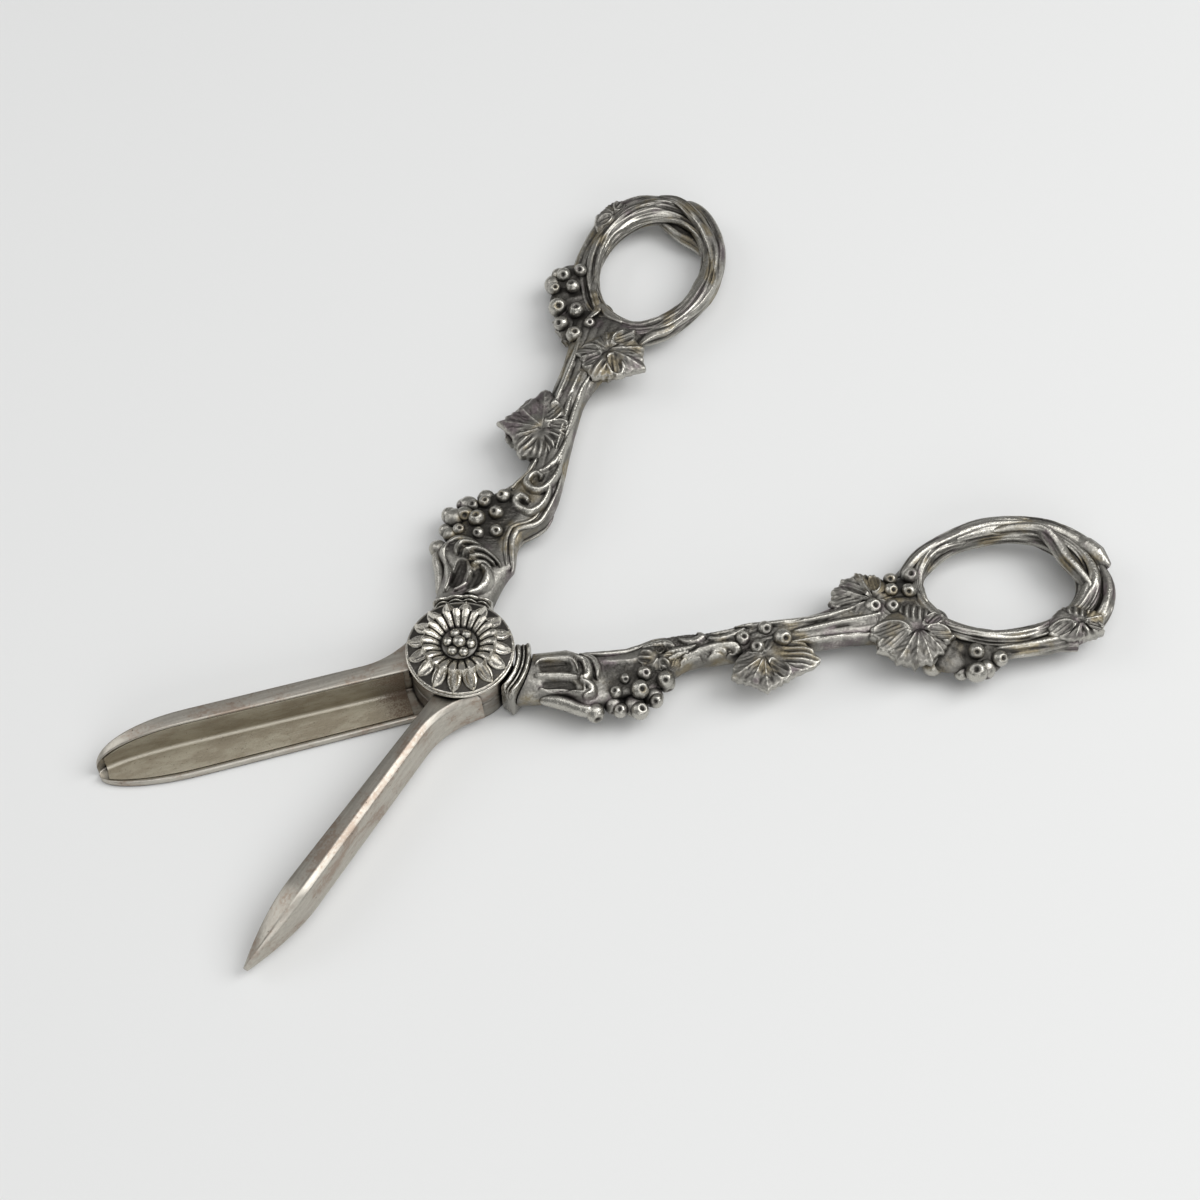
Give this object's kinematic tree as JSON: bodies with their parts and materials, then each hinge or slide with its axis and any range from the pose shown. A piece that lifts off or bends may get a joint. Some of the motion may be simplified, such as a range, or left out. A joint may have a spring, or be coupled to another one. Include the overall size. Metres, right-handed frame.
{
  "type": "grape shears",
  "caption": "Antique silver grape shears: gutter blade and nesting blade on a sunflower-headed rivet, with cast fruiting-vine handles and twig finger rings.",
  "frame": {"origin": "centre of the pivot rivet's flat tail, on the back face that rests on the table", "axes": "+X along the line midway between the two handles, +Z along the pivot axis towards the sunflower, +Y to the handle of the nesting half"},
  "size_m": [0.1628, 0.133, 0.0134],
  "materials": {
    "blade_silver": "worn satin silver plate with tan tarnish",
    "old_steel": "pitted old steel with rust near the pivot",
    "bright_silver": "polished silver plate, dark in the recesses",
    "vine_silver": "cast silver plate, oxidised in the recesses and bright on the high parts",
    "burr_brass": "dull brass"
  },
  "bodies": {
    "half_a": {"blade_a": "blade_silver", "gutter_liner": "old_steel", "collar_a": "bright_silver", "handle_a": "vine_silver", "rivet_burr": "burr_brass"},
    "half_b": {"blade_b": "blade_silver", "collar_b": "bright_silver", "handle_b": "vine_silver", "rosette_seat": "bright_silver", "rosette": "bright_silver", "pivot_rivet": "bright_silver"}
  },
  "joints": [
    {"name": "pivot", "type": "hinge", "parent": "half_a", "child": "half_b", "pos_m": [0, 0, 0.0045], "axis": [0, 0, 1], "range_deg": [-39.5, 22]}
  ]
}
